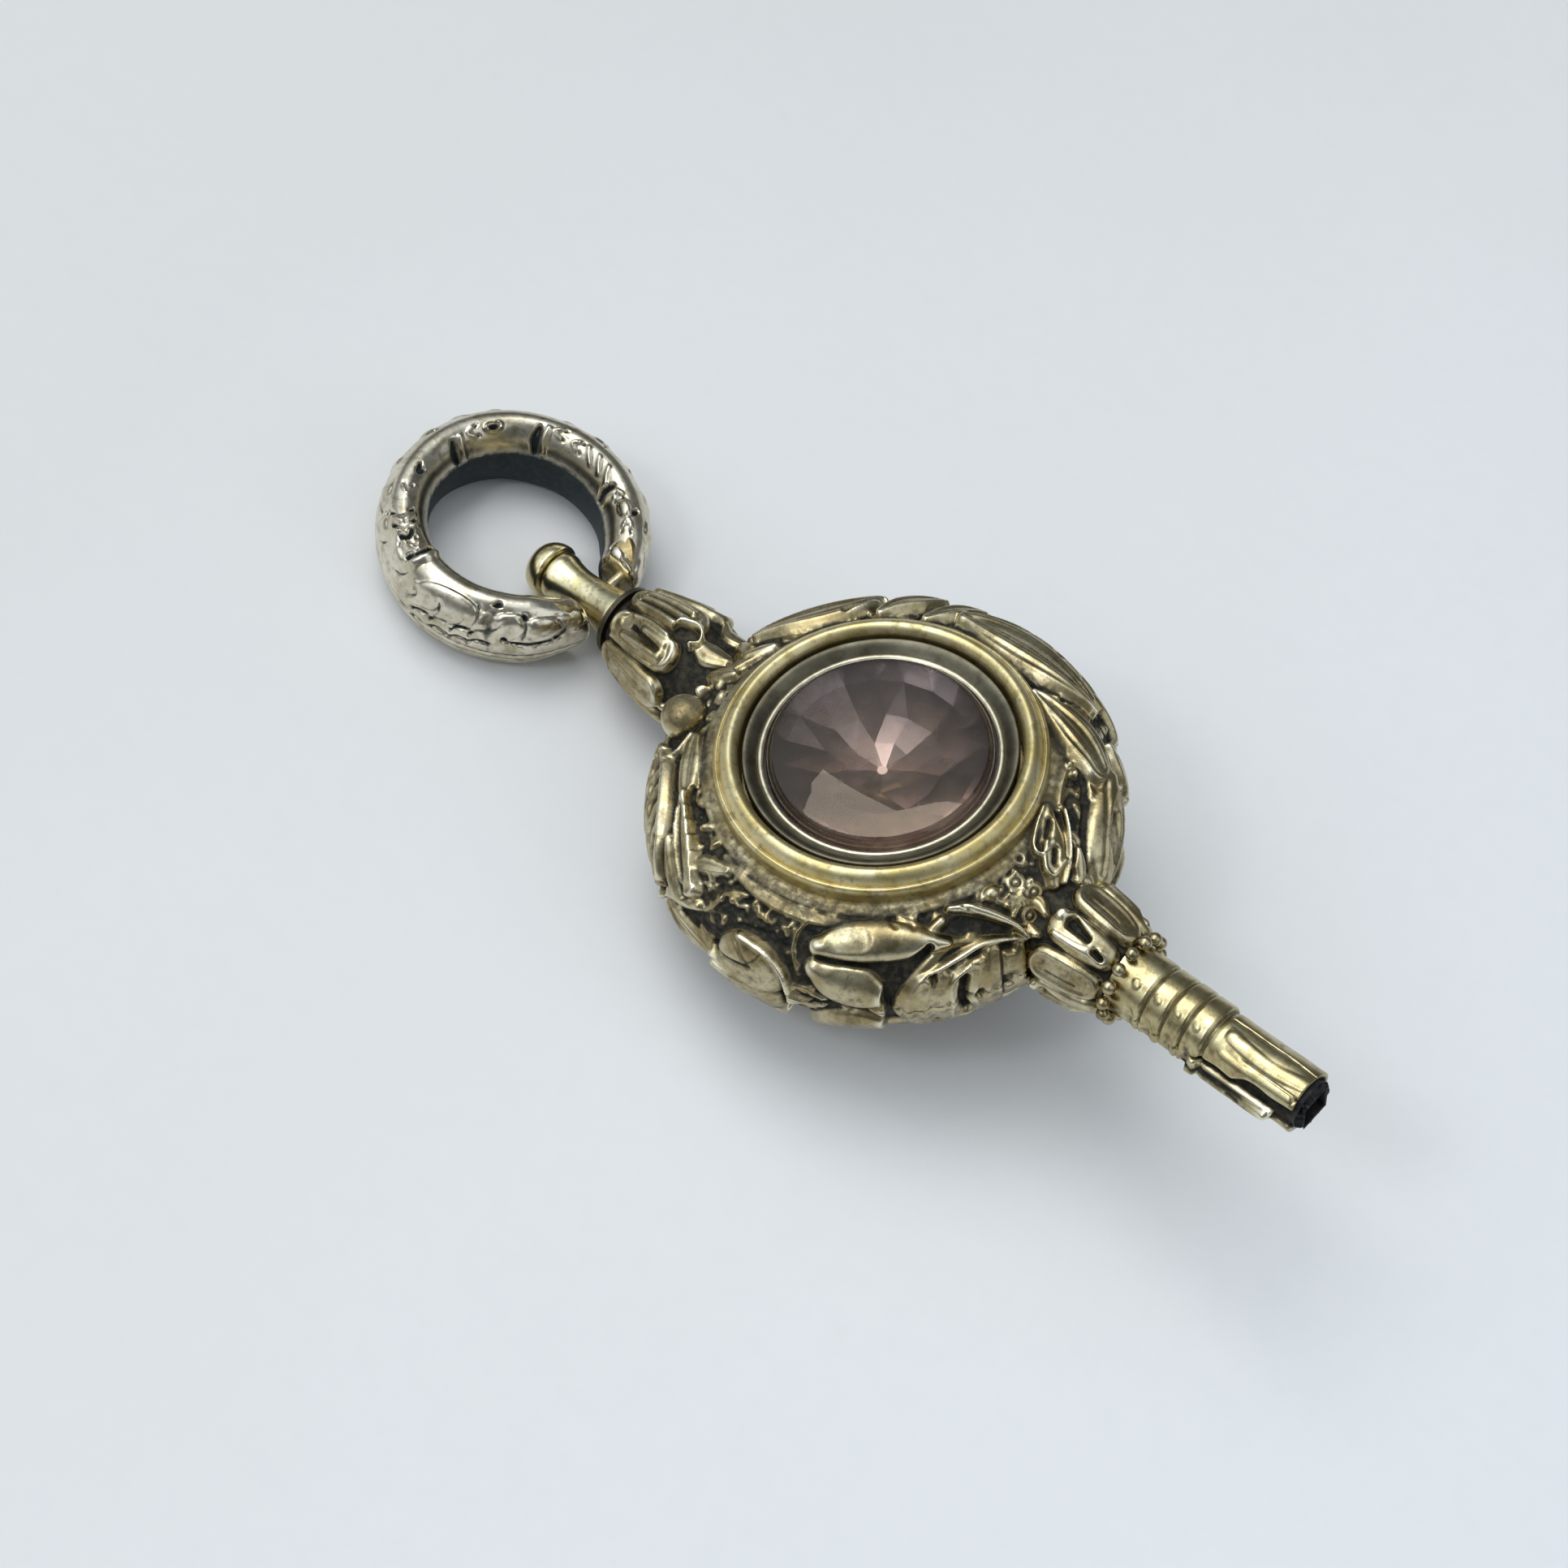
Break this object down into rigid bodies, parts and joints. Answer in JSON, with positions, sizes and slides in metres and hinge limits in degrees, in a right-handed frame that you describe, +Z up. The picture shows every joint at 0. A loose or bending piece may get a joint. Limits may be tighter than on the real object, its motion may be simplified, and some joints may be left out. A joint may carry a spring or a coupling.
{
  "type": "watch key",
  "caption": "Fob watch key: domed and faceted stones in a foliate gilt case, a steel socket pipe, and a swivelling, tilting suspension ring.",
  "frame": {"origin": "centre of the foot of the key's box, on the surface that it lies on, at rest on its ring and its back stone", "axes": "+X along the key in plan, from the ring to the pipe's tip; +Z up from the table; the key itself slopes up towards the tip"},
  "size_m": [0.0544, 0.0224, 0.0142],
  "materials": {
    "chased_gilt": "polished, tarnished dark in the hollows",
    "plain_gilt": "polished and worn",
    "dull_gilt": "dull",
    "ring_gilt": "worn pale gilt",
    "inner_brass": "plain",
    "pale_amethyst": "cut and polished",
    "dark_cabochon": "domed and polished",
    "foil": "bright foil",
    "blackened_steel": "blackened"
  },
  "bodies": {
    "case": {"front_wreath_shell": "chased_gilt", "back_wreath_shell": "chased_gilt", "upper_collar": "chased_gilt", "lower_collar": "chased_gilt", "collar_beads": "chased_gilt", "collar_cap": "plain_gilt", "front_bezel": "plain_gilt", "back_bezel": "plain_gilt", "front_stone_ring": "dull_gilt", "back_stone_ring": "dull_gilt", "pipe_sleeve": "plain_gilt", "swivel_post": "plain_gilt", "case_core": "inner_brass", "front_stone": "pale_amethyst", "back_stone": "dark_cabochon", "front_foil": "foil", "back_foil": "foil", "steel_pipe": "blackened_steel"},
    "hub": {"hub_spool": "plain_gilt"},
    "ring": {"ring_upper_shell": "ring_gilt", "ring_lower_shell": "ring_gilt", "ring_end_caps": "ring_gilt", "ring_pins": "inner_brass", "ring_filling": "inner_brass"}
  },
  "joints": [
    {"name": "swivel_spin", "type": "hinge", "parent": "case", "child": "hub", "pos_m": [-0.01516, 0, 0.00235], "axis": [0.9705, 0, 0.2409], "continuous": true},
    {"name": "ring_tilt", "type": "hinge", "parent": "hub", "child": "ring", "pos_m": [-0.01516, 0, 0.00235], "axis": [-0.0872, 0.9962, 0], "range_deg": [-98, 70]}
  ]
}
